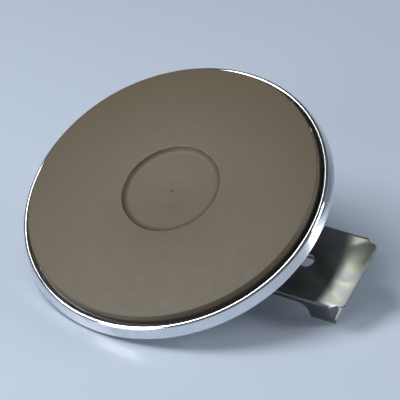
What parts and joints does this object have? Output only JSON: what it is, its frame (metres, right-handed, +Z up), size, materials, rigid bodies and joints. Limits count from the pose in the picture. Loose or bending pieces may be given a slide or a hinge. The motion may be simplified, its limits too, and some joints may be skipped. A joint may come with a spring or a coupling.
{
  "type": "electric hotplate",
  "caption": "Round cast-iron electric hotplate with a dished centre, a bright overflow rim, an underside cover, a centre stud and a terminal bracket with a ceramic block.",
  "frame": {"origin": "centre of the rim's foot circle, in the plane in which the rim seats on the hob", "axes": "+Z up out of the cooking face, +X from the stud towards the tip of the terminal bracket, +Y towards the earth screw's side"},
  "size_m": [0.1743, 0.156, 0.0505],
  "materials": {
    "cast_iron": "turned and coated with a matt brown-olive protective film",
    "rim_steel": "mirror-polished stainless steel",
    "cover_steel": "pressed sheet with a dull metal coating",
    "bracket_steel": "zinc coated, faintly mottled with yellow, pink and green",
    "fixing_steel": "bright zinc plate",
    "embedding": "pressed and fired, rough",
    "coil_wire": "drawn resistance wire",
    "lead_wire": "drawn nickel wire",
    "steatite": "unglazed steatite",
    "terminal_brass": "machined, bare"
  },
  "bodies": {
    "root": {"cooking_plate": "cast_iron", "overflow_rim": "rim_steel", "embedding_mass": "embedding", "inner_coil": "coil_wire", "middle_coil": "coil_wire", "outer_coil": "coil_wire", "bottom_cover": "cover_steel", "centre_stud": "fixing_steel", "stud_washer": "fixing_steel", "stud_nut": "fixing_steel", "terminal_bracket": "bracket_steel", "bracket_rivets": "fixing_steel", "terminal_block": "steatite", "lead_screws": "fixing_steel", "supply_screws": "fixing_steel", "earth_screw": "fixing_steel", "earth_washer": "fixing_steel", "earth_nut": "fixing_steel", "lead_bush_1": "steatite", "lead_wire_1": "lead_wire", "terminal_clamp_1": "terminal_brass", "lead_bush_2": "steatite", "lead_wire_2": "lead_wire", "terminal_clamp_2": "terminal_brass", "lead_bush_3": "steatite", "lead_wire_3": "lead_wire", "terminal_clamp_3": "terminal_brass", "lead_bush_4": "steatite", "lead_wire_4": "lead_wire", "terminal_clamp_4": "terminal_brass"}
  },
  "joints": []
}
